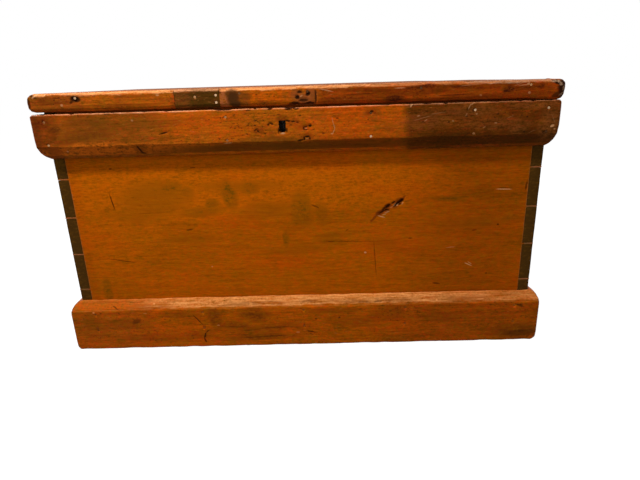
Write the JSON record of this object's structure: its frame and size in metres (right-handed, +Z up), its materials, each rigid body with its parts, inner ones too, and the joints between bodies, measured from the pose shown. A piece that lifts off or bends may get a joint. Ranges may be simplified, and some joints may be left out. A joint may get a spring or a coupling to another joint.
{
  "type": "blanket chest",
  "caption": "Dovetailed pine blanket chest with a moulded band, a bevelled plinth, a hinged plank lid with rounded edging, and a lock with a worn keyhole.",
  "frame": {"origin": "on the floor, under the middle of the chest's bounding box", "axes": "+X along the chest to the right as seen from the front, +Y to its back, +Z up; the front with the keyhole faces -Y"},
  "size_m": [1, 0.565, 0.538],
  "materials": {
    "pine_board": "waxed old pine, satin",
    "pine_trim": "waxed old pine, worn and darkened, satin",
    "pine_repair": "dark let-in pine, satin",
    "pine_inside": "bare old pine, dull",
    "iron": "dark old iron, dull",
    "nail_iron": "old nails, some with pale filler",
    "brass": "tarnished brass"
  },
  "bodies": {
    "box": {"front_board": "pine_board", "back_board": "pine_board", "left_side_board": "pine_board", "right_side_board": "pine_board", "bottom_plank_1": "pine_inside", "bottom_plank_2": "pine_inside", "bottom_plank_3": "pine_inside", "bottom_plank_4": "pine_inside", "bottom_plank_5": "pine_inside", "bottom_plank_6": "pine_inside", "bottom_nails": "nail_iron", "plinth_nails": "nail_iron", "band_nails": "nail_iron", "plinth_front": "pine_trim", "plinth_back": "pine_trim", "plinth_left": "pine_trim", "plinth_right": "pine_trim", "band_front": "pine_trim", "band_left": "pine_trim", "band_right": "pine_trim", "left_hinge_box_leaf": "iron", "left_hinge_pin": "iron", "right_hinge_box_leaf": "iron", "right_hinge_pin": "iron", "hinge_box_screws": "iron", "lock_plate": "iron", "lock_box": "iron", "lock_key_pin": "iron", "lock_ward": "iron", "lock_spring": "iron", "lock_screws": "iron"},
    "lid": {"lid_plank_front": "pine_board", "lid_plank_middle": "pine_board", "lid_plank_back": "pine_board", "edging_front": "pine_trim", "edging_left": "pine_trim", "edging_right": "pine_trim", "edging_repair": "pine_repair", "edging_nails": "nail_iron", "repair_nails": "nail_iron", "left_hinge_lid_leaf": "iron", "right_hinge_lid_leaf": "iron", "hinge_lid_screws": "iron", "lid_strike": "iron", "strike_screws": "iron"},
    "bolt": {"lock_bolt": "brass"}
  },
  "joints": [
    {"name": "lid_hinge", "type": "hinge", "parent": "box", "child": "lid", "pos_m": [0, 0.2667, 0.51775], "axis": [-1, 0, 0], "range_deg": [0, 115]},
    {"name": "lock_bolt_slide", "type": "slide", "parent": "box", "child": "bolt", "axis": [1, 0, 0], "range_m": [0, 0.008]}
  ]
}
